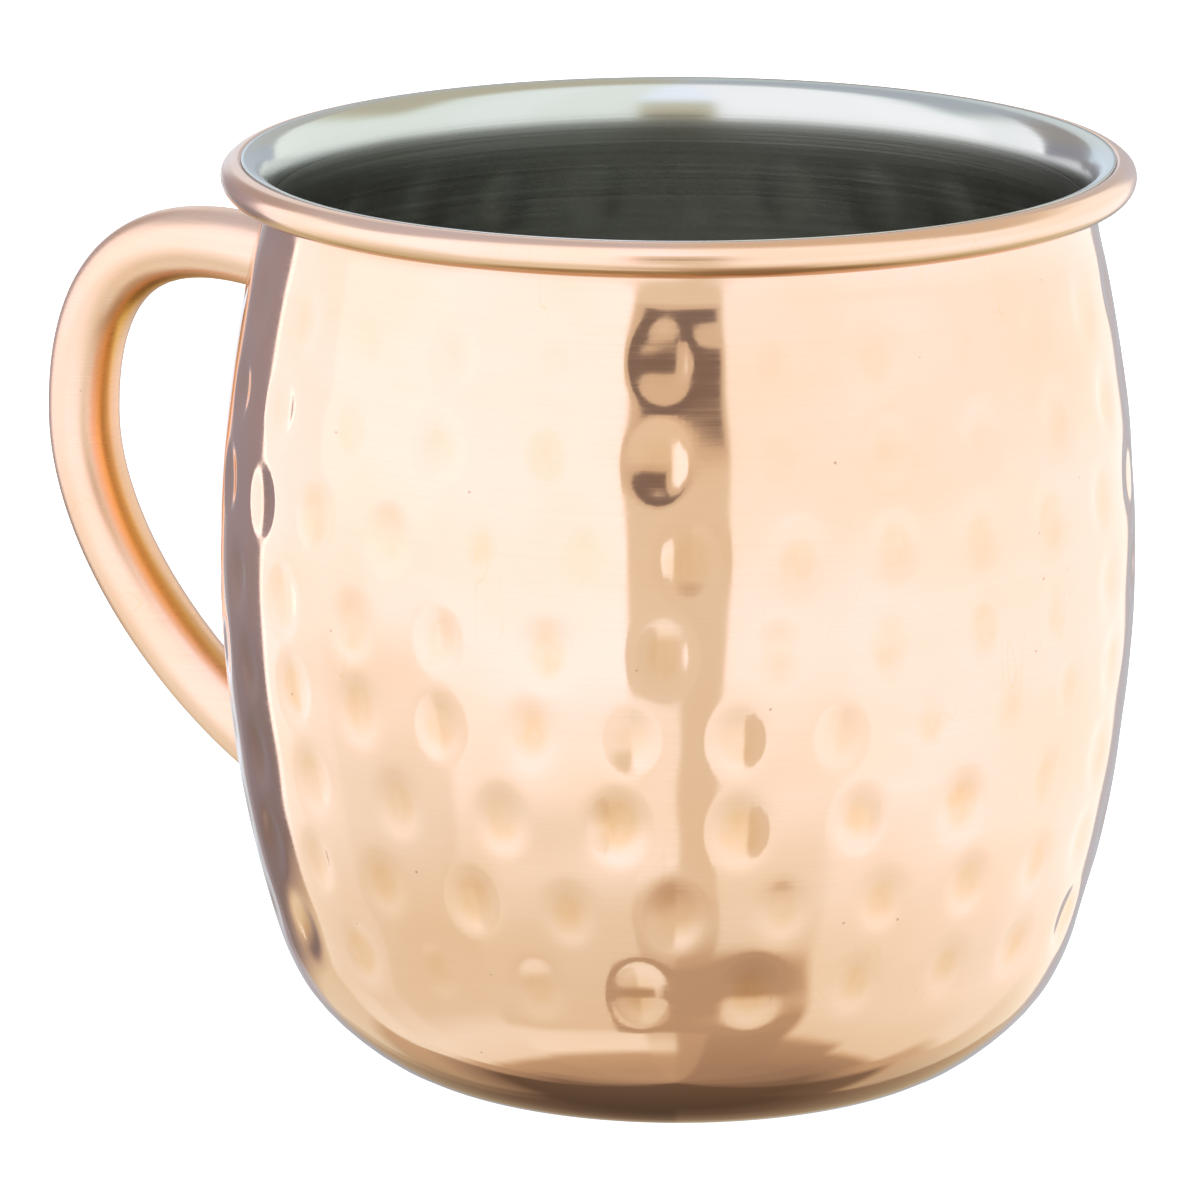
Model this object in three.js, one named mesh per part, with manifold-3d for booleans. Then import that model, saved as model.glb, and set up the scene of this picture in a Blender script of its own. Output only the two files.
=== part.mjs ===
// A hammered copper mug: barrel-shaped copper shell with a rolled rim, stainless steel liner, and
// a handle bent from copper tube and brazed to the shell.
// Millimetres, +Z up. The origin is on the mug's axis, at the underside of its flat base, and the
// handle stands out towards -X.
import * as THREE from "three";
import { mergeVertices } from "three/addons/utils/BufferGeometryUtils.js";
import Module from "manifold-3d";

const wasm = await Module();
wasm.setup();

// Driving dimensions.
const BODY_RADIUS = 45; // at the widest point of the barrel
const NECK_HEIGHT = 84.9; // where the barrel is narrowest, under the rim
const HEIGHT = 90.2; // from the base to the crest of the rim
const BASE_FLAT_RADIUS = 24.3; // of the flat that the mug stands on
const CREST_RADIUS = 42.65; // of the rim's highest line
const BEAD_RADIUS = 1.75; // of the rolled edge's section
const SHEET = 0.5; // thickness of the copper sheet and of the steel sheet
const LIP_EDGE = 0.15; // thickness of the liner's lip where it ends, at the crest
const GAP = 0.3; // clearance between neighbouring pieces
const SEAM = 0.6; // depth of a braze seam between the shell and the end of the handle
const SEAM_SPREAD = 0.45; // how far a seam stands out around the tube
const SLEEVE_LENGTH = 15; // of the short pipe that a seam is cut from

const TUBE_RADIUS = 3.7; // of the handle's tube, outside
const TUBE_WALL = 0.7;
const HANDLE_REACH = 74.4; // from the mug's axis to the tube's middle line, where it is furthest out

// Control points of the tube's middle line, two Bezier curves that meet where it is furthest out,
// from the upper joint to the lower one, as [distance from the axis, height]. Both ends lie inside
// the barrel, which the tube is then cut to.
const HANDLE_LINE = [
  [39.2, 72],
  [66.2, 80.3],
  [HANDLE_REACH, 69.5],
  [HANDLE_REACH, 54.9],
  [HANDLE_REACH, 36.8],
  [49.8, 18.6],
  [39.2, 19.7],
];

// How finely the curved surfaces are faceted.
const TURN_SEGMENTS = 48;
const TUBE_SIDES = 16;
const TUBE_STEPS = 30;

// The barrel's outline between the flat base and the neck, as shares of the widest radius and of
// the neck's height.
const BARREL = [
  [0.653, 0.014],
  [0.764, 0.057],
  [0.847, 0.114],
  [0.907, 0.204],
  [0.963, 0.341],
  [1, 0.545],
  [0.987, 0.739],
  [0.947, 0.886],
  [0.903, 1],
];
const BARREL_STEPS = 18;

// The flare leads on from the barrel's inward lean, and turns level at the crest: the shares of
// its height and width at which its two Bezier handles end.
const FLARE_LEAN = 0.06;
const FLARE_UPRIGHT = 0.45;
const FLARE_LEVEL = 0.3;
const FLARE_STEPS = 5;

// Where the rolled edge starts and ends, as angles about the middle of the bead.
const CURL_START = THREE.MathUtils.degToRad(45);
const CURL_END = THREE.MathUtils.degToRad(-150);
const CURL_STEPS = 9;

const MERGE_DISTANCE = 1e-4; // vertices closer than this are one

const copper = { color: 0xe8b08c, roughness: 0.18, metalness: 1 };
const steel = { color: 0xb9bcbb, roughness: 0.35, metalness: 1 };
const brazing = { color: 0xd9a878, roughness: 0.4, metalness: 1 };

// The face of the copper sheet that points out of the mug, from the middle of the base up to the
// crest of the rim.
function wallLine() {
  const knots = BARREL.map(([radius, height]) =>
    new THREE.Vector2(radius * BODY_RADIUS, height * NECK_HEIGHT));
  const baseEdge = new THREE.Vector2(BASE_FLAT_RADIUS, 0);
  const barrel = new THREE.SplineCurve([baseEdge, ...knots]).getSpacedPoints(BARREL_STEPS);
  const neck = knots.at(-1);
  const crest = new THREE.Vector2(CREST_RADIUS, HEIGHT - LIP_EDGE - GAP - SHEET);
  const rise = crest.y - neck.y;
  const flare = new THREE.CubicBezierCurve(
    neck,
    new THREE.Vector2(neck.x - FLARE_LEAN * rise, neck.y + FLARE_UPRIGHT * rise),
    new THREE.Vector2(THREE.MathUtils.lerp(neck.x, crest.x, FLARE_LEVEL), crest.y),
    crest,
  ).getPoints(FLARE_STEPS);
  return [new THREE.Vector2(0, 0), ...barrel, ...flare.slice(1)];
}

// The same face of the sheet on from the crest, where the edge is rolled outward and under.
function curlLine() {
  const centre = new THREE.Vector2(CREST_RADIUS, HEIGHT - BEAD_RADIUS);
  const inside = BEAD_RADIUS - SHEET;
  return new THREE.EllipseCurve(centre.x, centre.y, inside, inside, CURL_START, CURL_END, true)
    .getPoints(CURL_STEPS);
}

// A line moved towards the inside of the mug by distance(share), where share runs from 0 to 1
// along it.
function offset(line, distance) {
  const last = line.length - 1;
  return line.map((point, i) => {
    const along = line[Math.min(i + 1, last)].clone().sub(line[Math.max(i - 1, 0)]);
    if (i === 0) along.set(1, 0);
    const inward = new THREE.Vector2(-along.y, along.x).normalize();
    const moved = point.clone().addScaledVector(inward, distance(i / last));
    return i === 0 ? moved.setX(0) : moved;
  });
}

// A sheet-metal piece turned about the mug's axis: its section lies between two faces, both
// starting on the axis.
function turned(outerFace, innerFace) {
  const section = [...outerFace, ...innerFace.toReversed()];
  return new THREE.LatheGeometry(section, TURN_SEGMENTS).rotateX(Math.PI / 2);
}

function copperShell() {
  const line = [...wallLine(), ...curlLine()];
  return turned(line, offset(line, () => SHEET));
}

// The liner keeps one sheet and one gap inside the shell, and its lip thins out over the flare.
function steelLiner() {
  const line = wallLine();
  const under = SHEET + GAP;
  const flareStart = 1 - FLARE_STEPS / (line.length - 1);
  const thickness = (share) =>
    THREE.MathUtils.mapLinear(Math.max(share, flareStart), flareStart, 1, SHEET, LIP_EDGE);
  return turned(
    offset(line, () => under),
    offset(line, (share) => under + thickness(share)),
  );
}

// The tube's middle line: out and up from the shell, round, and back in to the lower barrel.
function handleLine() {
  const points = HANDLE_LINE.map(([reach, height]) => new THREE.Vector3(-reach, 0, height));
  const line = new THREE.CurvePath();
  line.add(new THREE.CubicBezierCurve3(...points.slice(0, 4)));
  line.add(new THREE.CubicBezierCurve3(...points.slice(3)));
  return line;
}

// A hollow round bar along a curve.
function pipe(curve, outerRadius, innerRadius, steps) {
  const ring = new THREE.Shape().absarc(0, 0, outerRadius, 0, 2 * Math.PI);
  ring.holes.push(new THREE.Path().absarc(0, 0, innerRadius, 0, 2 * Math.PI));
  return new THREE.ExtrudeGeometry(ring, {
    curveSegments: TUBE_SIDES / 2,
    steps,
    extrudePath: curve,
  });
}

// Everything within a clearance of the barrel's outside, as one solid.
function barrelGrownBy(clearance) {
  const outside = offset(wallLine(), () => -clearance);
  return turned(outside, [new THREE.Vector2(0, outside.at(-1).y)]);
}

// three.js geometry to a manifold-3d solid and back.
function solid(geometry) {
  const bare = geometry.clone();
  bare.deleteAttribute("normal");
  bare.deleteAttribute("uv");
  const merged = mergeVertices(bare, MERGE_DISTANCE);
  return new wasm.Manifold(new wasm.Mesh({
    numProp: 3,
    vertProperties: merged.attributes.position.array,
    triVerts: new Uint32Array(merged.index.array),
  }));
}

function geometryOf(body) {
  const { vertProperties, triVerts } = body.getMesh();
  const geometry = new THREE.BufferGeometry();
  geometry.setAttribute("position", new THREE.BufferAttribute(vertProperties, 3));
  geometry.setIndex(new THREE.BufferAttribute(triVerts, 1));
  geometry.computeVertexNormals();
  return geometry;
}

// The tube's ends are cut to the curve of the barrel, and stop short of the braze seams.
function handleTube() {
  const bar = solid(pipe(handleLine(), TUBE_RADIUS, TUBE_RADIUS - TUBE_WALL, TUBE_STEPS));
  return geometryOf(bar.subtract(solid(barrelGrownBy(2 * GAP + SEAM))));
}

// A braze seam: a thin ring that lies on the barrel around one end of the tube. root is that end
// of the tube's middle line, and next is the control point after it.
function brazeSeam(root, next) {
  const tip = next.clone().sub(root).setLength(SLEEVE_LENGTH).add(root);
  const sleeve = solid(pipe(
    new THREE.LineCurve3(root, tip),
    TUBE_RADIUS + SEAM_SPREAD,
    TUBE_RADIUS - TUBE_WALL,
    1,
  ));
  const layer = solid(barrelGrownBy(GAP + SEAM)).subtract(solid(barrelGrownBy(GAP)));
  return geometryOf(sleeve.intersect(layer));
}

function piece(name, geometry, finish) {
  const mesh = new THREE.Mesh(geometry, new THREE.MeshStandardMaterial(finish));
  mesh.name = name;
  return mesh;
}

const mug = new THREE.Group();
const [upperArm, lowerArm] = handleLine().curves;
mug.add(
  piece("copper_shell", copperShell(), copper),
  piece("steel_liner", steelLiner(), steel),
  piece("handle_tube", handleTube(), copper),
  piece("upper_braze_seam", brazeSeam(upperArm.v0, upperArm.v1), brazing),
  piece("lower_braze_seam", brazeSeam(lowerArm.v3, lowerArm.v2), brazing),
);

export default mug;
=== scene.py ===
"""Looks for the hammered copper mug: shell, liner, handle and braze seams around the CAD frame.

Metres, +Z up. The mug's axis is the Z axis, its base stands at Z = 0, and the handle is towards -X.
Azimuths go round the axis from -Y towards +X, in degrees, as a camera's azimuth does.
"""

import math
import random

import bmesh
import bpy
import numpy as np
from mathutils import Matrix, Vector


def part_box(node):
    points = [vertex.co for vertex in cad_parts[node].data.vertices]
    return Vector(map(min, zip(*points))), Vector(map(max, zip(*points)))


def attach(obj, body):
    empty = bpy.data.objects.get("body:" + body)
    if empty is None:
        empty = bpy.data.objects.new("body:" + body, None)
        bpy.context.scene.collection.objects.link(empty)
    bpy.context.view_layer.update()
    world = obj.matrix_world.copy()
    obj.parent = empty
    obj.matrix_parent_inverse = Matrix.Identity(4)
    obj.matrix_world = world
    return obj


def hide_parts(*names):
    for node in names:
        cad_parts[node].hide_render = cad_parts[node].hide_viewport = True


MM = 0.001
WELD = 0.01 * MM  # vertices closer than this are one

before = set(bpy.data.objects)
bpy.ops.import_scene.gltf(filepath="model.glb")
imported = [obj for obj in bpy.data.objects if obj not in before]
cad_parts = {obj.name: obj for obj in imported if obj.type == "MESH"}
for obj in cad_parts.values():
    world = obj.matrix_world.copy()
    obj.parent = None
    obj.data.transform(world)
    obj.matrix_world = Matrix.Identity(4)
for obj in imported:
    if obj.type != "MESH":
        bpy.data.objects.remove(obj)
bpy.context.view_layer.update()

# Driving dimensions, from the frame.
BODY_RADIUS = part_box("copper_shell")[1].x
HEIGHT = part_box("steel_liner")[1].z
TUBE_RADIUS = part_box("handle_tube")[1].y
HANDLE_REACH = -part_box("handle_tube")[0].x - TUBE_RADIUS  # from the axis to the tube's middle line
RIM_HEIGHT = 5.3 * MM  # of the flare and the rolled edge, above the neck
NECK_HEIGHT = HEIGHT - RIM_HEIGHT
CREST_RADIUS = 42.65 * MM  # of the rim's highest line
BEAD_RADIUS = 1.75 * MM  # of the rolled edge's section
LIP_STEP = 0.05 * MM  # the liner's lip ends this high above the bead
LIP_REACH = (38, 96)  # the shell under the lip, in degrees round the middle of the bead
NEAR_BEAD = 1.5 * BEAD_RADIUS  # the bead's section is within this distance of its middle

# The hammered rows, from the bottom up: height, azimuth of one dimple, dimples in the row, and how
# deep they are for their size.
ROWS = [
    (17.6 * MM, 44.0, 25, 1.0),
    (26.0 * MM, 33.9, 27, 1.0),
    (34.6 * MM, 42.0, 24, 1.0),
    (43.3 * MM, 41.3, 29, 1.0),
    (51.6 * MM, 32.3, 26, 1.1),
    (60.6 * MM, 35.3, 28, 1.15),
    (69.6 * MM, 31.9, 25, 1.05),
    (78.4 * MM, 32.1, 26, 0.8),
]
DIMPLE_HALF_WIDTH = 3.2 * MM
DIMPLE_HALF_HEIGHT = 4.2 * MM
DIMPLE_DEPTH = 0.28 * MM
DIMPLE_STRAY = 0.3 * MM  # how far a dimple may be from its place in the row
DIMPLE_SIZES = (0.92, 1.08)  # the least and the most, as a share of the common size
DIMPLE_DEPTHS = (0.85, 1.1)
DIMPLE_SEED = 11
BOWL_FLATNESS = 1.25  # a higher power makes a dimple's middle flatter and its edge steeper
SKIRT_REACH = 1.5  # the sheet sinks a little this far around a dimple, in dimple half widths
SKIRT_SHARE = 0.1  # and this much of its depth
SHOW_THROUGH = 0.4 * MM  # how far a dimple stands out on the liner
WAVES = 9  # the long waves that hammering leaves in the sheet
WAVE_LENGTHS = (9 * MM, 20 * MM)
WAVE_DEPTH = 0.011 * MM
WAVE_SEED = 5
HIDDEN_SINK = 0.32 * MM  # how far the faces between the two sheets give way to the hammering

# The hammered sheet starts at this height.
HAMMERED_FROM = ROWS[0][0] - SKIRT_REACH * DIMPLE_HALF_HEIGHT

# The handle's middle line, two Bezier curves, as (distance from the axis, height). Both ends lie
# inside the barrel.
HANDLE_LINE = [
    (39.2 * MM, 72.0 * MM),
    (66.2 * MM, 80.3 * MM),
    (HANDLE_REACH, 69.5 * MM),
    (HANDLE_REACH, 54.9 * MM),
    (HANDLE_REACH, 36.8 * MM),
    (49.8 * MM, 18.6 * MM),
    (39.2 * MM, 19.7 * MM),
]
LOOP_MIDDLE = (-56 * MM, 0, 50 * MM)  # of the space that the handle goes round
HANDLE_SIDES = 48
HANDLE_RINGS = 240
TUBE_SINK = 0.2 * MM  # how far the tube's ends go into the shell's sheet

# A braze seam's section, between the tube and the shell.
SEAM_HEIGHT = 1.3 * MM  # up the tube
SEAM_SPREAD = 0.42 * MM  # out over the shell
SEAM_DEPTH = 0.3 * MM  # under the tube and the shell, out of sight
SEAM_STEPS = 8
HALVINGS = 40  # in the search for where the tube meets the shell

# How finely the turned pieces are drawn.
TURN_STEPS = 400
RIM_STEP = 0.34 * MM
FINE_STEP = 0.64 * MM
COARSE_STEP = 2.5 * MM
HIDDEN_STEP = 20 * MM
CORNER = math.radians(50)  # a section's sharper turns stay sharp

# The camera and its view of the mug.
CAMERA_AZIMUTH = 34.0
CAMERA_ELEVATION = 14.34
CAMERA_DISTANCE = 0.7
CAMERA_LENS = 213.2
AIM_HEIGHT = 45.5 * MM
AIM_ASIDE = -7.6 * MM  # the picture's middle is beside the axis, towards the handle

GROOVE_WIDTH = 1.1 * MM  # the line of painted shade under the rolled edge
GROOVE_BLUR = 0.2 * MM
FOOT_WIDTH = 9 * MM  # painted shade on the foot reaches up to this height
STRONG_BELOW = 0.45 * NECK_HEIGHT  # the dimples' stains are strongest up to here,
FAINT_ABOVE = 0.8 * NECK_HEIGHT  # and faint from here
HAIRLINE = 0.006  # how wide a scratch is, as a step in the noise that it follows
QUARTER_TURN = 0.25  # from drawing reflections out round the axis to doing so up and down

# Colours. The shell's copper wanders between the plain and the warm one, and the handle's between
# the satin and the rubbed one. The others are laid over them.
COPPER = (0.955, 0.66, 0.565)
COPPER_WARM = (0.95, 0.635, 0.51)
COPPER_SATIN = (0.94, 0.66, 0.56)
COPPER_RUBBED = (0.94, 0.62, 0.49)
COPPER_DEEP = (0.90, 0.56, 0.42)  # in the turned lines
COPPER_TARNISH = (0.88, 0.54, 0.33)  # in the dimples and scratches
COPPER_GROOVE_SHADE = (0.58, 0.36, 0.18)  # painted shade under the rolled edge
COPPER_STAIN_AND_SHADE = (0.25, 0.13, 0.08)  # painted shade on the foot, and a real stain in the specks
COPPER_SHADED = (0.78, 0.46, 0.30)  # on the handle's inner side
COPPER_ORANGE = (0.95, 0.53, 0.16)  # where that side catches the light from the shell
STEEL = (0.47, 0.475, 0.44)
STEEL_DARK = (0.38, 0.385, 0.36)
STEEL_BRIGHT = (0.64, 0.65, 0.66)
BRAZE = (0.90, 0.68, 0.42)
BRAZE_DARK = (0.62, 0.42, 0.24)
FLOOR_WHITE = (0.95, 0.95, 0.95)
FLOOR_SHADE = (0.92, 0.92, 0.92)
FLOOR_GLOW = 1.0  # lit from below, so that the mug throws hardly any shadow

# The studio round the mug, in degrees. Each sector has a name, the azimuth where it starts,
# counted from the camera's towards its right, how blurred that edge is, the elevation from which
# its light is bluish, and the light's level at some elevations, from the bottom up. It reaches to
# the next sector. Its blue is full up to COOL_TO, and the share COOL_ABOVE of that higher up.
NOWHERE = 120  # an elevation that nothing has
SECTORS = [
    ("back left", -180, 2.0, -30,
     [(-60, 0.12), (-50, 0.2), (-40, 0.35), (-30, 0.5), (-23, 0.5), (-18, 0.7), (-14, 1.2), (-8, 0.9)]),
    ("gap at the left", -160, 1.5, -30,
     [(-60, 0.12), (-50, 0.3), (-43, 0.4), (-36, 0.6), (-26, 0.6), (-22, 0.3), (-12, 0.45)]),
    ("dark wall on the left", -154.5, 1.5, -25,
     [(-62, 0.12), (-57, 0.3), (-50, 0.5), (-43, 0.5), (-39, 0.8), (-30, 0.8), (-24, 0.22), (-12, 0.32),
      (-4, 0.35), (40, 0.45)]),
    ("left panel's white edge", -128, 0.7, NOWHERE,
     [(-72, 0.2), (-60, 0.5), (-55, 0.95), (-45, 1.0), (-32, 0.92), (-25, 1.2), (-20, 1.6)]),
    ("left panel's end", -125.5, 1.0, NOWHERE,
     [(-72, 0.2), (-60, 0.5), (-55, 0.95), (-45, 1.0), (-32, 0.92), (-25, 1.1), (-18, 1.3)]),
    ("left panel's side", -116, 2.0, NOWHERE,
     [(-72, 0.33), (-64, 0.5), (-61, 0.95), (-52, 1.02), (-40, 0.86), (-31, 0.95), (-20, 1.14),
      (-10, 1.28)]),
    ("left panel", -100, 1.5, NOWHERE,
     [(-74, 0.4), (-65, 0.46), (-62, 0.95), (-52, 1.0), (-44, 0.82), (-37, 0.82), (-31, 0.9),
      (-18, 1.13), (-6, 1.37), (4, 1.37)]),
    ("left panel's front", -62, 2.0, NOWHERE,
     [(-74, 0.42), (-64, 0.5), (-61, 1.05), (-52, 1.0), (-49, 0.78), (-38, 0.88), (-32, 0.98),
      (-23, 1.22), (-12, 1.34)]),
    ("camera side, left", -11.3, 0.9, 36,
     [(-72, 0.45), (-65, 0.5), (-61, 0.95), (-46, 0.6), (-37, 0.78), (-30, 1.1), (-20, 1.1), (-16, 0.84),
      (3, 0.8), (5, 0.66), (14, 0.66), (26, 0.67), (32, 0.7), (40, 1.3)]),
    ("camera side, right", 0.5, 1.0, 36,
     [(-72, 0.42), (-44, 0.5), (-37, 0.78), (3, 0.8), (5, 0.66), (14, 0.66), (26, 0.67), (32, 0.7),
      (40, 1.3)]),
    ("right panel's front", 11.8, 0.9, NOWHERE,
     [(-72, 0.31), (-46, 0.42), (-42, 0.85), (-34, 0.98), (-24, 1.15), (-13, 1.27), (0, 1.18)]),
    ("right panel", 43, 3.0, NOWHERE,
     [(-70, 0.3), (-58, 0.4), (-55, 0.86), (-42, 0.98), (-34, 1.06), (-25, 1.26), (-10, 1.28), (2, 1.18),
      (10, 1.22)]),
    ("right panel's side", 71, 3.0, NOWHERE,
     [(-70, 0.27), (-61.5, 0.37), (-58.5, 0.85), (-42, 0.99), (-33, 1.08), (-24, 1.26), (-10, 1.28),
      (2, 1.19)]),
    ("right panel's end", 112, 5.0, NOWHERE,
     [(-70, 0.2), (-60, 0.5), (-52, 0.6), (-47, 0.98), (-36, 1.05), (-24, 1.24), (-10, 1.27), (2, 1.18)]),
    ("right panel's far edge", 130, 4.0, NOWHERE,
     [(-70, 0.12), (-58, 0.2), (-55, 0.6), (-45, 0.74), (-39, 0.88), (-32, 1.03), (-24, 1.24),
      (-10, 1.27), (2, 1.18)]),
    ("grey wall on the right", 154, 1.2, -30,
     [(-64, 0.12), (-56, 0.2), (-50, 0.3), (-40, 0.45), (-32, 0.6), (-14, 0.58), (0, 0.62)]),
]
COOL_TO = 14
COOL_ABOVE = 0.6
COOL_BLUR = 5
# Cards stand in front of the sectors: azimuths, elevations, blur, coolness and level.
CARDS = [
    ("overhead at the back left", (-180, -95), (35, 90), 8.0, 0.9, 0.63),
    ("overhead at the back right", (95, 180), (35, 90), 8.0, 0.1, 0.63),
    ("camera", (-8.0, 10.2), (6.6, 12.9), 0.4, 0.35, 0.19),
    ("front edge of the table", (-21, 41), (-51, -46), 0.8, 0.0, 0.42),
]
BRIGHTEST = 1.6
# The light's colour at a level, from (level, colour): what the copper throws back on the table is
# brown, and the panels are white.
WARM_TINTS = [
    (0.0, (0.0, 0.0, 0.0)),
    (0.25, (0.32, 0.25, 0.17)),
    (0.5, (0.60, 0.50, 0.32)),
    (0.8, (0.82, 0.80, 0.60)),
    (1.0, (0.95, 1.00, 0.84)),
    (1.2, (1.13, 1.20, 1.12)),
    (1.3, (1.30, 1.30, 1.30)),
    (BRIGHTEST, (1.60, 1.60, 1.60)),
]
COOL_TINTS = [
    (0.0, (0.0, 0.0, 0.0)),
    (0.35, (0.36, 0.345, 0.38)),
    (0.75, (0.66, 0.75, 0.82)),
    (1.3, (1.18, 1.30, 1.48)),
    (BRIGHTEST, (1.40, 1.60, 1.80)),
]
BACKGROUND_LIGHT = (1.0, 1.0, 1.0)
FLOOR_RADIUS = 3.0
FLOOR_SIDES = 96


# ---------------------------------------------------------------- sections of turned pieces

def meridian(node):
    """A turned CAD node's closed section on its +X side, as (radius, height) points from the axis
    up its outer face, over the rim and down its inner face."""
    shape = bmesh.new()
    shape.from_mesh(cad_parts[node].data)
    bmesh.ops.remove_doubles(shape, verts=shape.verts, dist=WELD)
    section = {v for v in shape.verts if abs(v.co.y) < WELD and v.co.x > -WELD}
    here = min(section, key=lambda v: (v.co.x > WELD, v.co.z))
    points = []
    while here is not None:
        section.discard(here)
        points.append((max(here.co.x, 0.0), here.co.z))
        beside = [edge.other_vert(here) for edge in here.link_edges]
        here = next((v for v in beside if v in section), None)
    shape.free()
    return np.array(points)


def smooth_run(points, steps):
    """Points on a smooth curve through the points, with steps[i] steps in the span after point i."""
    reach = np.concatenate([[0], np.cumsum(np.linalg.norm(np.diff(points, axis=0), axis=1))])
    slope = np.gradient(points, reach, axis=0)
    run = []
    for i, count in enumerate(steps):
        span = reach[i + 1] - reach[i]
        for t in np.arange(count) / count:
            run.append(
                (2 * t**3 - 3 * t**2 + 1) * points[i]
                + (t**3 - 2 * t**2 + t) * span * slope[i]
                + (3 * t**2 - 2 * t**3) * points[i + 1]
                + (t**3 - t**2) * span * slope[i + 1]
            )
    return run


def smooth_line(points, step_between):
    """The points joined by smooth curves that meet at the sharp corners. step_between(a, b) is the
    greatest step allowed between two points."""
    along = np.diff(points, axis=0)
    heading = np.arctan2(along[:, 1], along[:, 0])
    turning = np.abs((np.diff(heading) + math.pi) % (2 * math.pi) - math.pi)
    corners = [0, *(np.flatnonzero(turning > CORNER) + 1), len(points) - 1]
    line = []
    for start, end in zip(corners[:-1], corners[1:]):
        run = points[start:end + 1]
        spans = zip(run[:-1], run[1:])
        steps = [math.ceil(np.linalg.norm(b - a) / step_between(a, b)) for a, b in spans]
        line.extend(smooth_run(run, steps))
    return np.array([*line, points[-1]])


def section_of(node, shown):
    """A turned node's section, drawn finely on the face that shows: shown is 1 for the outer face,
    where the section goes up, and -1 for the inner one, where it comes down."""
    def step_between(a, b):
        if min(a[1], b[1]) > NECK_HEIGHT - RIM_STEP:
            return RIM_STEP
        if shown * (b[1] - a[1]) <= 0:
            return HIDDEN_STEP
        return FINE_STEP if max(a[1], b[1]) > HAMMERED_FROM else COARSE_STEP

    points = meridian(node)
    return np.array([points[0], *smooth_line(points[1:-1], step_between), points[-1]])


def rounded_bead(line):
    """The shell's section with the rolled edge kept round right up to the liner's lip."""
    centre = np.array([CREST_RADIUS, HEIGHT - BEAD_RADIUS])
    away = line - centre
    turned = np.degrees(np.arctan2(away[:, 1], away[:, 0]))
    distance = np.linalg.norm(away, axis=1, keepdims=True)
    returning = np.arange(len(line)) > np.argmax(line[:, 0] * (line[:, 1] > centre[1]))
    under_lip = (turned > LIP_REACH[0]) & (turned < LIP_REACH[1])
    top = returning & under_lip & (distance[:, 0] < NEAR_BEAD)
    lifted = centre + away / distance * (BEAD_RADIUS - LIP_STEP)
    return np.where(top[:, None], lifted, line)


def into_sheet(line):
    """Unit normals of a section, pointing into the metal."""
    along = np.gradient(line, axis=0)
    normal = np.stack([-along[:, 1], along[:, 0]], axis=1)
    return normal / np.linalg.norm(normal, axis=1, keepdims=True)


# ---------------------------------------------------------------- the hammering

def dimple_places():
    """Every dimple as (azimuth in radians, height, size, depth)."""
    chance = random.Random(DIMPLE_SEED)
    places = []
    for height, azimuth, count, depth in ROWS:
        for k in range(count):
            turn = math.radians(azimuth) + 2 * math.pi * k / count
            turn += chance.uniform(-1, 1) * DIMPLE_STRAY / BODY_RADIUS
            stray = chance.uniform(-1, 1) * DIMPLE_STRAY
            size = chance.uniform(*DIMPLE_SIZES)
            places.append((turn, height + stray, size, size * depth * chance.uniform(*DIMPLE_DEPTHS)))
    return places


def dimple_shares(line, shows):
    """How deep each vertex of a turned section lies in a dimple, as a share of a common dimple's
    depth, on the face that shows."""
    face = line[shows & (line[:, 1] < NECK_HEIGHT)]
    face = face[np.argsort(face[:, 1])]
    turns = 2 * math.pi * np.arange(TURN_STEPS) / TURN_STEPS
    share = np.zeros((len(line), TURN_STEPS))
    for turn, height, size, depth in dimple_places():
        radius = np.interp(height, face[:, 1], face[:, 0])
        across = (turns - turn + math.pi) % (2 * math.pi) - math.pi
        u = across * radius / (DIMPLE_HALF_WIDTH * size)
        v = np.hypot(line[:, 0] - radius, line[:, 1] - height) / (DIMPLE_HALF_HEIGHT * size)
        away = u[None, :] ** 2 + v[:, None] ** 2  # the square of the distance from the middle
        bowl = np.clip(1 - away**BOWL_FLATNESS, 0, None) ** 2
        skirt = np.clip(1 - away / SKIRT_REACH**2, 0, None) ** 2
        share += depth * ((1 - SKIRT_SHARE) * bowl + SKIRT_SHARE * skirt)
    return share * shows[:, None]


def hammered_zone(height):
    """1 at a height that is hammered, fading out to 0 at both ends of the hammered rows."""
    fade = np.clip((height - HAMMERED_FROM) / DIMPLE_HALF_HEIGHT, 0, 1)
    fade *= np.clip((NECK_HEIGHT - height) / DIMPLE_HALF_HEIGHT, 0, 1)
    return fade**2 * (3 - 2 * fade)


def sheet_waves(line):
    """How far the long waves sink each vertex of a turned section."""
    chance = random.Random(WAVE_SEED)
    turns = 2 * math.pi * np.arange(TURN_STEPS) / TURN_STEPS
    sunk = np.zeros((len(line), TURN_STEPS))
    for _ in range(WAVES):
        heading = chance.uniform(0, math.pi)
        waves = 2 * math.pi / chance.uniform(*WAVE_LENGTHS)
        around = round(waves * math.cos(heading) * BODY_RADIUS)
        up = waves * math.sin(heading)
        phase = up * line[:, 1:] + around * turns + chance.uniform(0, 2 * math.pi)
        sunk += WAVE_DEPTH * (1 + np.sin(phase))
    return sunk


# ---------------------------------------------------------------- meshes

def new_piece(name, points, faces, node, material):
    """A smooth-shaded piece that stands for a CAD node."""
    mesh = bpy.data.meshes.new(name)
    mesh.from_pydata([tuple(p) for p in points], [], faces)
    mesh.polygons.foreach_set("use_smooth", [True] * len(mesh.polygons))
    mesh.materials.append(material)
    piece = bpy.data.objects.new(name, mesh)
    bpy.context.scene.collection.objects.link(piece)
    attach(piece, "root")
    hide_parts(node)
    return piece


def between_rings(rings, sides):
    """Quads between rings of vertices stored one after another."""
    faces = []
    for a in range((rings - 1) * sides):
        b = a + 1 if (a + 1) % sides else a + 1 - sides
        faces.append((a, b, b + sides, a + sides))
    return faces


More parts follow.
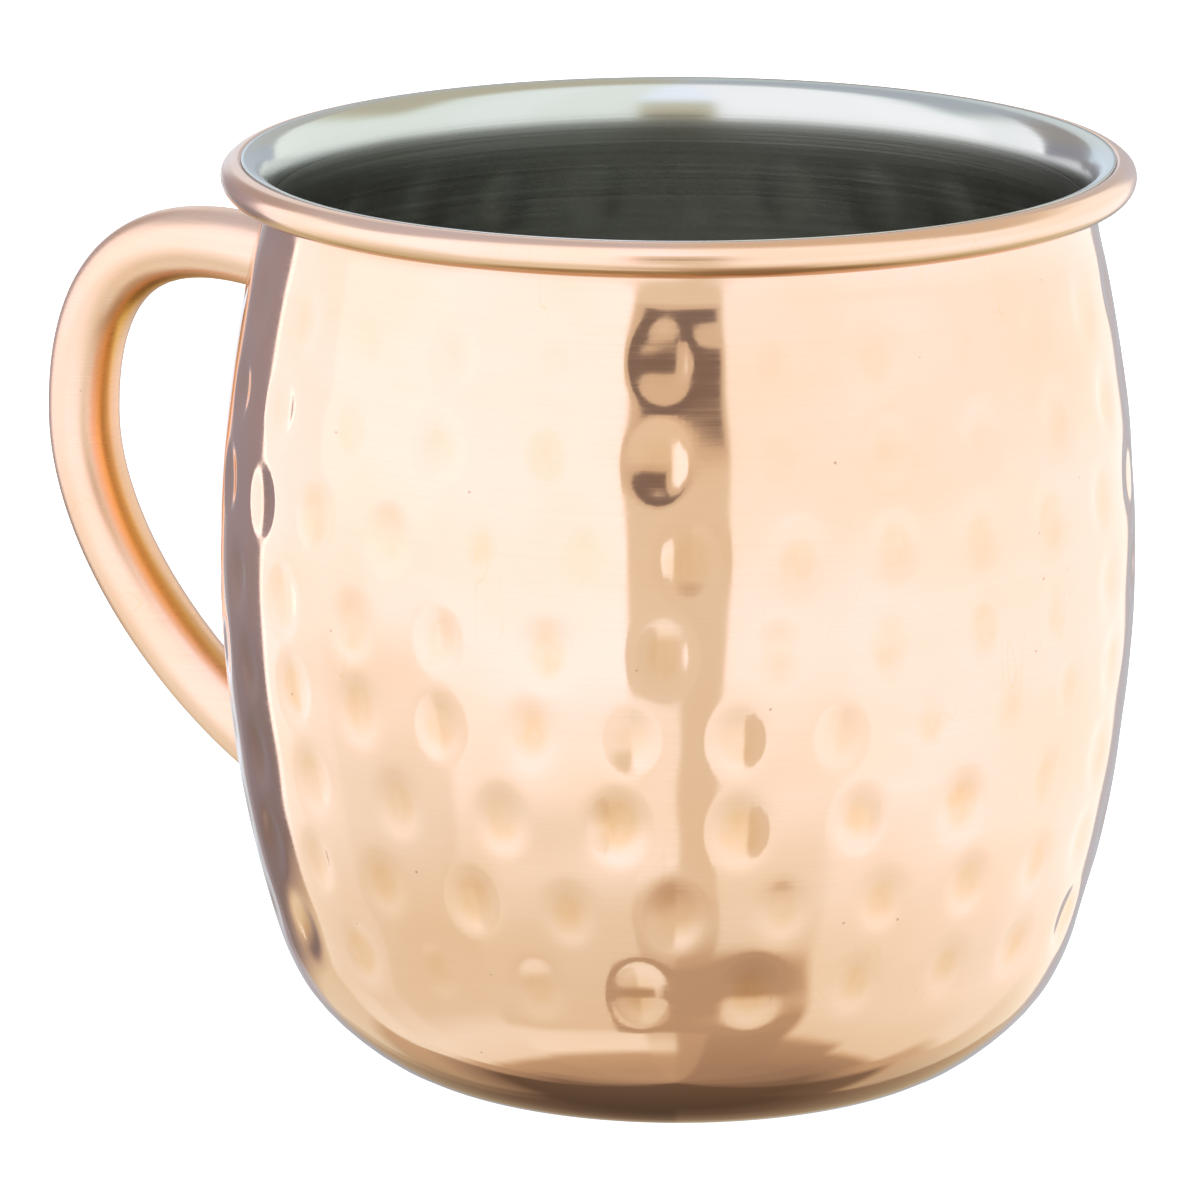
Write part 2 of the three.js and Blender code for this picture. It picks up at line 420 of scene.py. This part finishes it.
def turned_piece(name, node, material, shown, dent):
    """A turned CAD node with the dimples on the face shown, dent deep into its metal. Its hidden
    face gives way the other way."""
    line = section_of(node, shown)
    if shown > 0:
        line = rounded_bead(line)
    shows = shown * np.gradient(line[:, 1]) > 0
    share = dimple_shares(line, shows)
    zone = hammered_zone(line[:, 1:])
    normal = into_sheet(line)
    turns = 2 * math.pi * np.arange(TURN_STEPS) / TURN_STEPS
    hammered = dent * share + math.copysign(1, dent) * zone * sheet_waves(line)
    depth = np.where(shows[:, None], hammered, -math.copysign(HIDDEN_SINK, dent) * zone)
    radius = line[:, :1] + depth * normal[:, :1]
    height = line[:, 1:] + depth * normal[:, 1:]
    rings = np.stack([radius * np.sin(turns), -radius * np.cos(turns), height], axis=-1)[1:-1]
    bottom = rings.shape[0] * TURN_STEPS
    points = [*rings.reshape(-1, 3), (0, 0, line[0, 1]), (0, 0, line[-1, 1])]
    faces = between_rings(rings.shape[0], TURN_STEPS)
    for j in range(TURN_STEPS):
        k = (j + 1) % TURN_STEPS
        faces.append((bottom, k, j))
        faces.append((bottom + 1, bottom - TURN_STEPS + j, bottom - TURN_STEPS + k))
    piece = new_piece(name, points, faces, node, material)
    marks = np.concatenate([np.clip(share[1:-1], 0, 1).ravel(), [0, 0]])
    marked = piece.data.attributes.new("hammered", "FLOAT", "POINT")
    marked.data.foreach_set("value", marks.astype(np.float32))
    return piece


# ---------------------------------------------------------------- the handle

def handle_point(t, side, radius):
    """A point at a radius round the handle's middle line. t runs from 0 at its upper end to 2, and
    side is the angle round the tube."""
    arm = HANDLE_LINE[:4] if t < 1 else HANDLE_LINE[3:]
    p0, p1, p2, p3 = (Vector((-reach, 0, height)) for reach, height in arm)
    t = t if t < 1 else t - 1
    s = 1 - t
    middle = s**3 * p0 + 3 * s * s * t * p1 + 3 * s * t * t * p2 + t**3 * p3
    along = (s * s * (p1 - p0) + 2 * s * t * (p2 - p1) + t * t * (p3 - p2)).normalized()
    across = Vector((0, 1, 0))
    return middle + radius * (math.cos(side) * across + math.sin(side) * along.cross(across))


def handle_end(side, radius, clearance, wall, upper):
    """Where along the handle's line a point on the tube is at a clearance from the shell."""
    inside, outside = (0.0, 1.0) if upper else (2.0, 1.0)
    for _ in range(HALVINGS):
        t = (inside + outside) / 2
        p = handle_point(t, side, radius)
        if math.hypot(p.x, p.y) - np.interp(p.z, wall[:, 1], wall[:, 0]) > clearance:
            outside = t
        else:
            inside = t
    return (inside + outside) / 2


def handle_piece(wall, material):
    """The bent tube, with its ends shaped to the shell."""
    sides = [2 * math.pi * j / HANDLE_SIDES for j in range(HANDLE_SIDES)]
    starts = [handle_end(side, TUBE_RADIUS, -TUBE_SINK, wall, True) for side in sides]
    ends = [handle_end(side, TUBE_RADIUS, -TUBE_SINK, wall, False) for side in sides]
    points = []
    for i in range(HANDLE_RINGS):
        share = i / (HANDLE_RINGS - 1)
        for side, start, end in zip(sides, starts, ends):
            points.append(handle_point(start + share * (end - start), side, TUBE_RADIUS))
    faces = between_rings(HANDLE_RINGS, HANDLE_SIDES)
    first = list(range(HANDLE_SIDES))
    faces.append(first[::-1])
    faces.append([len(points) - HANDLE_SIDES + j for j in first])
    return new_piece("handle", points, faces, "handle_tube", material)


def seam_piece(name, node, wall, upper, material):
    """A braze seam: a hollow fillet round one end of the tube."""
    angles = [math.radians(90) * k / SEAM_STEPS for k in range(SEAM_STEPS + 1)]
    section = [
        (TUBE_RADIUS + SEAM_SPREAD * (1 - math.sin(a)), SEAM_HEIGHT * (1 - math.cos(a)))
        for a in angles
    ]
    section.append((TUBE_RADIUS - SEAM_DEPTH, SEAM_HEIGHT))
    section.append((TUBE_RADIUS - SEAM_DEPTH, -SEAM_DEPTH))
    section.append((TUBE_RADIUS + SEAM_SPREAD, -SEAM_DEPTH))
    points = []
    for radius, clearance in [*section, section[0]]:
        for j in range(HANDLE_SIDES):
            side = 2 * math.pi * j / HANDLE_SIDES
            t = handle_end(side, radius, clearance, wall, upper)
            points.append(handle_point(t, side, radius))
    faces = between_rings(len(section) + 1, HANDLE_SIDES)
    loop = len(section) * HANDLE_SIDES
    faces = [tuple(v % loop for v in face) for face in faces]
    if not upper:
        faces = [face[::-1] for face in faces]
    return new_piece(name, points[:loop], faces, node, material)


# ---------------------------------------------------------------- material nodes

def add(tree, kind, inputs=None, **settings):
    """A new node with its settings, and each input set to a value or linked to a socket."""
    made = tree.nodes.new(kind)
    for key, value in settings.items():
        setattr(made, key, value)
    for key, value in (inputs or {}).items():
        if isinstance(value, bpy.types.NodeSocket):
            tree.links.new(value, made.inputs[key])
        else:
            made.inputs[key].default_value = value
    return made


def calc(tree, operation, a, b=0.0):
    """The result of a Math node."""
    return add(tree, "ShaderNodeMath", {0: a, 1: b}, operation=operation).outputs[0]


def ramp(tree, value, low, high, start=0.0, end=1.0):
    """value from low to high, turned smoothly into start to end."""
    inputs = {"Value": value, "From Min": low, "From Max": high, "To Min": start, "To Max": end}
    return add(tree, "ShaderNodeMapRange", inputs, interpolation_type="SMOOTHSTEP").outputs[0]


def within(tree, value, low, high, blur):
    """1 where the value lies between low and high, and 0 outside, with blurred limits."""
    above = ramp(tree, value, low - blur, low + blur)
    below = ramp(tree, value, high - blur, high + blur, 1.0, 0.0)
    return calc(tree, "MULTIPLY", above, below)


def blend(tree, factor, a, b):
    """Colour a turned into colour b by the factor."""
    colours = [c if isinstance(c, bpy.types.NodeSocket) else (*c, 1) for c in (a, b)]
    inputs = {0: factor, 6: colours[0], 7: colours[1]}
    return add(tree, "ShaderNodeMix", inputs, data_type="RGBA").outputs[2]


def mix(tree, factor, a, b):
    """Number a turned into number b by the factor."""
    return add(tree, "ShaderNodeMix", {0: factor, 2: a, 3: b}).outputs[0]


def noise(tree, per_mm, detail=2.0, roughness=0.5, seed=0.0):
    """Noise over the object's own coordinates, with per_mm cells to the millimetre along X, Y, Z."""
    place = add(tree, "ShaderNodeTexCoord").outputs["Object"]
    inputs = {"Vector": place, "Location": (seed,) * 3, "Scale": [n / MM for n in per_mm]}
    scaled = add(tree, "ShaderNodeMapping", inputs).outputs[0]
    inputs = {"Vector": scaled, "Scale": 1.0, "Detail": detail, "Roughness": roughness}
    return add(tree, "ShaderNodeTexNoise", inputs).outputs[0]


def blank_material(name):
    """A material with an empty node tree, and that tree."""
    material = bpy.data.materials.new(name)
    material.use_nodes = True
    material.node_tree.nodes.clear()
    return material, material.node_tree


def metal(tree, colour, roughness, bump, brushed=0.0):
    """The shader of a bare metal. bump is its relief as (height, distance, strength), and brushed
    is how much its reflections are drawn out up and down, across the brushing."""
    relief = {"Height": bump[0], "Distance": bump[1], "Strength": bump[2]}
    normal = add(tree, "ShaderNodeBump", relief).outputs[0]
    inputs = {"Base Color": colour, "Metallic": 1.0, "Roughness": roughness, "Normal": normal}
    inputs |= {"Anisotropic": brushed, "Anisotropic Rotation": QUARTER_TURN}
    shader = add(tree, "ShaderNodeBsdfPrincipled", inputs)
    add(tree, "ShaderNodeOutputMaterial", {"Surface": shader.outputs[0]})


def hairlines(tree, per_mm, seed, share):
    """1 on thin wandering lines over a share of the surface, and 0 beside them."""
    hills = noise(tree, per_mm, detail=1, seed=seed)
    beside = calc(tree, "ABSOLUTE", calc(tree, "SUBTRACT", hills, 0.5))
    line = ramp(tree, beside, 0.0, HAIRLINE, 1.0, 0.0)
    patches = noise(tree, (0.05, 0.05, 0.05), detail=1, seed=seed + 5)
    return calc(tree, "MULTIPLY", line, ramp(tree, patches, 0.58 - share, 0.66 - share))


def specks(tree, spacing, size):
    """1 in small round specks, which lie in some of the cells of a loose grid."""
    place = add(tree, "ShaderNodeTexCoord").outputs["Object"]
    inputs = {"Vector": place, "Scale": 1 / spacing}
    cells = add(tree, "ShaderNodeTexVoronoi", inputs)
    chosen = add(tree, "ShaderNodeSeparateColor", {0: cells.outputs["Color"]}).outputs[0]
    dot = ramp(tree, cells.outputs["Distance"], 0.4 * size / spacing, size / spacing, 1.0, 0.0)
    return calc(tree, "MULTIPLY", dot, ramp(tree, chosen, 0.75, 0.85))


def surface_height(tree):
    """The height of the shaded point over the mug's base."""
    place = add(tree, "ShaderNodeTexCoord").outputs["Object"]
    return add(tree, "ShaderNodeSeparateXYZ", {0: place}).outputs[2]


def copper_base(tree, clear, cloudy):
    """Copper whose colour wanders, with fine turned lines: the colour and the lines."""
    clouds = ramp(tree, noise(tree, (0.05, 0.05, 0.07), detail=3), 0.35, 0.68)
    colour = blend(tree, clouds, clear, cloudy)
    lines = noise(tree, (0.012, 0.012, 5.0), detail=4, roughness=0.7)
    colour = blend(tree, ramp(tree, lines, 0.3, 0.7, 0.0, 0.12), colour, COPPER_DEEP)
    return colour, lines


def hammered_copper():
    """Polished copper, browner in the dimples, most of all in the lower ones, and satin on the rim,
    with hairline scratches and dark specks, and painted shade under the rolled edge and on the foot."""
    material, tree = blank_material("hammered_copper")
    colour, lines = copper_base(tree, COPPER, COPPER_WARM)
    hollow = add(tree, "ShaderNodeAttribute", attribute_name="hammered").outputs["Fac"]
    grain = noise(tree, (0.8, 0.8, 0.5), detail=3, seed=7)
    drift = noise(tree, (0.16, 0.16, 0.16), detail=1, seed=2)
    stained = ramp(tree, hollow, 0.35, 1.1)
    stained = calc(tree, "MULTIPLY", stained, ramp(tree, grain, 0.2, 0.7, 0.5, 1.0))
    stained = calc(tree, "MULTIPLY", stained, ramp(tree, drift, 0.35, 0.65, 0.35, 0.9))
    height = surface_height(tree)
    fainter = ramp(tree, height, STRONG_BELOW, FAINT_ABOVE, 1.0, 0.45)
    colour = blend(tree, calc(tree, "MULTIPLY", stained, fainter), colour, COPPER_TARNISH)
    scratches = hairlines(tree, (0.3, 0.3, 0.06), 21, 0.02)
    colour = blend(tree, calc(tree, "MULTIPLY", scratches, 0.3), colour, COPPER_TARNISH)
    dark = calc(tree, "MULTIPLY", specks(tree, 3.2 * MM, 0.2 * MM), 0.5)
    colour = blend(tree, dark, colour, COPPER_STAIN_AND_SHADE)
    rim = ramp(tree, height, NECK_HEIGHT, NECK_HEIGHT + 0.3 * RIM_HEIGHT)
    # Painted shade: a dark line in the groove under the rolled edge.
    underside = HEIGHT - 2 * BEAD_RADIUS
    groove = within(tree, height, underside - GROOVE_BLUR, underside + GROOVE_WIDTH, GROOVE_BLUR)
    colour = blend(tree, calc(tree, "MULTIPLY", groove, 0.8), colour, COPPER_GROOVE_SHADE)
    # Painted shade on the foot, darker towards the base: the mirrored shadow under the mug.
    foot = ramp(tree, height, 0.1 * FOOT_WIDTH, FOOT_WIDTH, 0.85, 0.0)
    colour = blend(tree, foot, colour, COPPER_STAIN_AND_SHADE)
    polished = ramp(tree, lines, 0.3, 0.7, 0.05, 0.10)
    roughness = mix(tree, rim, polished, ramp(tree, lines, 0.3, 0.7, 0.17, 0.24))
    metal(tree, colour, roughness, (lines, 0.002 * MM, 0.35))
    return material


def handle_copper():
    """Satin copper with rubbed stains, with painted shade on the side towards the mug and painted orange
    light from the shell on part of that side.
    """
    material, tree = blank_material("handle_copper")
    colour, lines = copper_base(tree, COPPER_SATIN, COPPER_RUBBED)
    facing = add(tree, "ShaderNodeNewGeometry").outputs["Normal"]
    sideways = add(tree, "ShaderNodeSeparateXYZ", {0: facing}).outputs[1]
    place = add(tree, "ShaderNodeTexCoord").outputs["Object"]
    to_middle = add(tree, "ShaderNodeVectorMath", {0: LOOP_MIDDLE, 1: place}, operation="SUBTRACT")
    to_middle = add(tree, "ShaderNodeVectorMath", {0: to_middle.outputs[0]}, operation="NORMALIZE")
    towards = {0: facing, 1: to_middle.outputs[0]}
    inward = add(tree, "ShaderNodeVectorMath", towards, operation="DOT_PRODUCT").outputs["Value"]
    # Painted shade on the handle's inner side, which faces the space it goes round.
    inner = ramp(tree, inward, 0.45, 0.9)
    colour = blend(tree, calc(tree, "MULTIPLY", inner, 0.9), colour, COPPER_SHADED)
    # Painted reflection: orange light from the shell on part of the handle's inner side.
    lit = calc(tree, "MULTIPLY", inner, within(tree, sideways, -0.62, -0.12, 0.2))
    colour = blend(tree, lit, colour, COPPER_ORANGE)
    rubbed = hairlines(tree, (0.2, 0.2, 0.12), 31, 0.02)
    colour = blend(tree, calc(tree, "MULTIPLY", rubbed, 0.6), colour, COPPER_TARNISH)
    dark = calc(tree, "MULTIPLY", specks(tree, 4.0 * MM, 0.25 * MM), 0.5)
    colour = blend(tree, dark, colour, COPPER_STAIN_AND_SHADE)
    metal(tree, colour, ramp(tree, lines, 0.3, 0.7, 0.26, 0.36), (lines, 0.002 * MM, 0.35))
    return material


def satin_steel():
    """Brushed stainless steel, polished towards the lip."""
    material, tree = blank_material("satin_steel")
    height = surface_height(tree)
    polish = ramp(tree, height, NECK_HEIGHT, NECK_HEIGHT + 0.5 * RIM_HEIGHT)
    clouds = noise(tree, (0.06, 0.06, 0.06), detail=3)
    colour = blend(tree, polish, blend(tree, clouds, STEEL, STEEL_DARK), STEEL_BRIGHT)
    lines = noise(tree, (0.012, 0.012, 7.0), detail=4, roughness=0.7)
    satin = ramp(tree, polish, 0.0, 1.0, 0.28, 0.13)
    roughness = calc(tree, "ADD", satin, ramp(tree, lines, 0.3, 0.7, 0.0, 0.1))
    metal(tree, colour, roughness, (lines, 0.004 * MM, 0.5), brushed=0.7)
    return material


def brazing():
    """The yellowish metal of the seams, a little rough."""
    material, tree = blank_material("brazing_metal")
    grain = noise(tree, (1.4, 1.4, 1.4), detail=4)
    colour = blend(tree, ramp(tree, grain, 0.35, 0.65), BRAZE, BRAZE_DARK)
    metal(tree, colour, ramp(tree, grain, 0.3, 0.7, 0.18, 0.4), (grain, 0.05 * MM, 0.5))
    return material


def pale_paper():
    """The floor: matt and nearly white."""
    material, tree = blank_material("pale_paper")
    colour = blend(tree, noise(tree, (0.02, 0.02, 0.02), detail=3), FLOOR_WHITE, FLOOR_SHADE)
    inputs = {"Base Color": colour, "Roughness": 0.9}
    inputs |= {"Emission Color": (1, 1, 1, 1), "Emission Strength": FLOOR_GLOW}
    shader = add(tree, "ShaderNodeBsdfPrincipled", inputs)
    add(tree, "ShaderNodeOutputMaterial", {"Surface": shader.outputs[0]})
    return material


# ---------------------------------------------------------------- the studio

def graded(tree, value, low, high, stops):
    """The colour at a value between the stops, which lie from low to high."""
    share = add(tree, "ShaderNodeMapRange", {"Value": value, "From Min": low, "From Max": high})
    made = add(tree, "ShaderNodeValToRGB", {0: share.outputs[0]})
    elements = made.color_ramp.elements
    while len(elements) < len(stops):
        elements.new(0.5)
    for element, (place, colour) in zip(elements, stops):
        element.position = (place - low) / (high - low)
        element.color = (*colour, 1)
    return made.outputs[0]


def light_studio():
    """The light from every direction, as the world's own shader. The camera sees plain white."""
    world = bpy.data.worlds.new("studio")
    bpy.context.scene.world = world
    world.use_nodes = True
    tree = world.node_tree
    tree.nodes.clear()
    direction = add(tree, "ShaderNodeTexCoord").outputs["Generated"]
    turn = {"Vector": direction, "Angle": -math.radians(CAMERA_AZIMUTH)}
    facing = add(tree, "ShaderNodeVectorRotate", turn, rotation_type="Z_AXIS").outputs[0]
    x, y, z = add(tree, "ShaderNodeSeparateXYZ", {0: facing}).outputs
    azimuth = calc(tree, "ARCTAN2", x, calc(tree, "MULTIPLY", y, -1.0))
    azimuth = calc(tree, "DEGREES", azimuth)
    elevation = calc(tree, "DEGREES", calc(tree, "ARCSINE", z))
    full_or_less = ramp(tree, elevation, COOL_TO - COOL_BLUR, COOL_TO + COOL_BLUR, 1.0, COOL_ABOVE)
    level, cool = (0.0, 0.0, 0.0), 0.0
    for _, start, blur, cool_from, levels in SECTORS:
        reached = 1.0 if start == -180 else ramp(tree, azimuth, start - blur, start + blur)
        stops = [(place, (amount,) * 3) for place, amount in levels]
        level = blend(tree, reached, level, graded(tree, elevation, -90, 90, stops))
        coolness = ramp(tree, elevation, cool_from - COOL_BLUR, cool_from + COOL_BLUR)
        coolness = calc(tree, "MULTIPLY", coolness, full_or_less)
        cool = mix(tree, reached, cool, coolness)
    for _, azimuths, elevations, blur, coolness, amount in CARDS:
        across = within(tree, azimuth, *azimuths, blur)
        up = within(tree, elevation, *elevations, blur)
        share = calc(tree, "MULTIPLY", across, up)
        level = blend(tree, share, level, (amount,) * 3)
        cool = mix(tree, share, cool, coolness)
    warm_light = graded(tree, level, 0.0, BRIGHTEST, WARM_TINTS)
    cool_light = graded(tree, level, 0.0, BRIGHTEST, COOL_TINTS)
    light = blend(tree, cool, warm_light, cool_light)
    to_camera = add(tree, "ShaderNodeLightPath").outputs["Is Camera Ray"]
    light = blend(tree, to_camera, light, BACKGROUND_LIGHT)
    shader = add(tree, "ShaderNodeBackground", {"Color": light, "Strength": 1.0})
    add(tree, "ShaderNodeOutputWorld", {"Surface": shader.outputs[0]})


def lay_floor():
    """A round sheet of pale paper under the mug."""
    mesh = bpy.data.meshes.new("floor")
    shape = bmesh.new()
    bmesh.ops.create_circle(shape, cap_ends=True, segments=FLOOR_SIDES, radius=FLOOR_RADIUS)
    shape.to_mesh(mesh)
    shape.free()
    mesh.materials.append(pale_paper())
    floor = bpy.data.objects.new("floor", mesh)
    bpy.context.scene.collection.objects.link(floor)
    floor.visible_glossy = False  # the mug mirrors the studio's own table instead


def place_camera():
    """The camera stands in front of the mug and to the right, and looks a little down on it."""
    turn, lift = math.radians(CAMERA_AZIMUTH), math.radians(CAMERA_ELEVATION)
    back = Vector((math.sin(turn) * math.cos(lift), -math.cos(turn) * math.cos(lift), math.sin(lift)))
    beside = Vector((math.cos(turn), math.sin(turn), 0))
    lens = bpy.data.cameras.new("camera")
    lens.lens = CAMERA_LENS
    lens.clip_start = 0.01
    camera = bpy.data.objects.new("camera", lens)
    camera.location = Vector((0, 0, AIM_HEIGHT)) + CAMERA_DISTANCE * back
    aim = Vector((0, 0, AIM_HEIGHT)) + AIM_ASIDE * beside
    camera.rotation_euler = (aim - camera.location).to_track_quat("-Z", "Y").to_euler()
    bpy.context.scene.collection.objects.link(camera)
    bpy.context.scene.camera = camera


place_camera()
light_studio()
lay_floor()
bpy.context.scene.view_settings.view_transform = "Standard"

turned_piece(
    "hammered_shell", "copper_shell",
    hammered_copper(), shown=1, dent=DIMPLE_DEPTH,
)
turned_piece(
    "liner", "steel_liner",
    satin_steel(), shown=-1, dent=-SHOW_THROUGH,
)
shell_section = section_of("copper_shell", 1)
outer_face = shell_section[:np.argmax(shell_section[:, 1])]
barrel_wall = outer_face[(outer_face[:, 1] > HAMMERED_FROM) & (outer_face[:, 1] < NECK_HEIGHT)]
handle_piece(barrel_wall, handle_copper())
seam_metal = brazing()
seam_piece("upper_seam", "upper_braze_seam", barrel_wall, True, seam_metal)
seam_piece("lower_seam", "lower_braze_seam", barrel_wall, False, seam_metal)
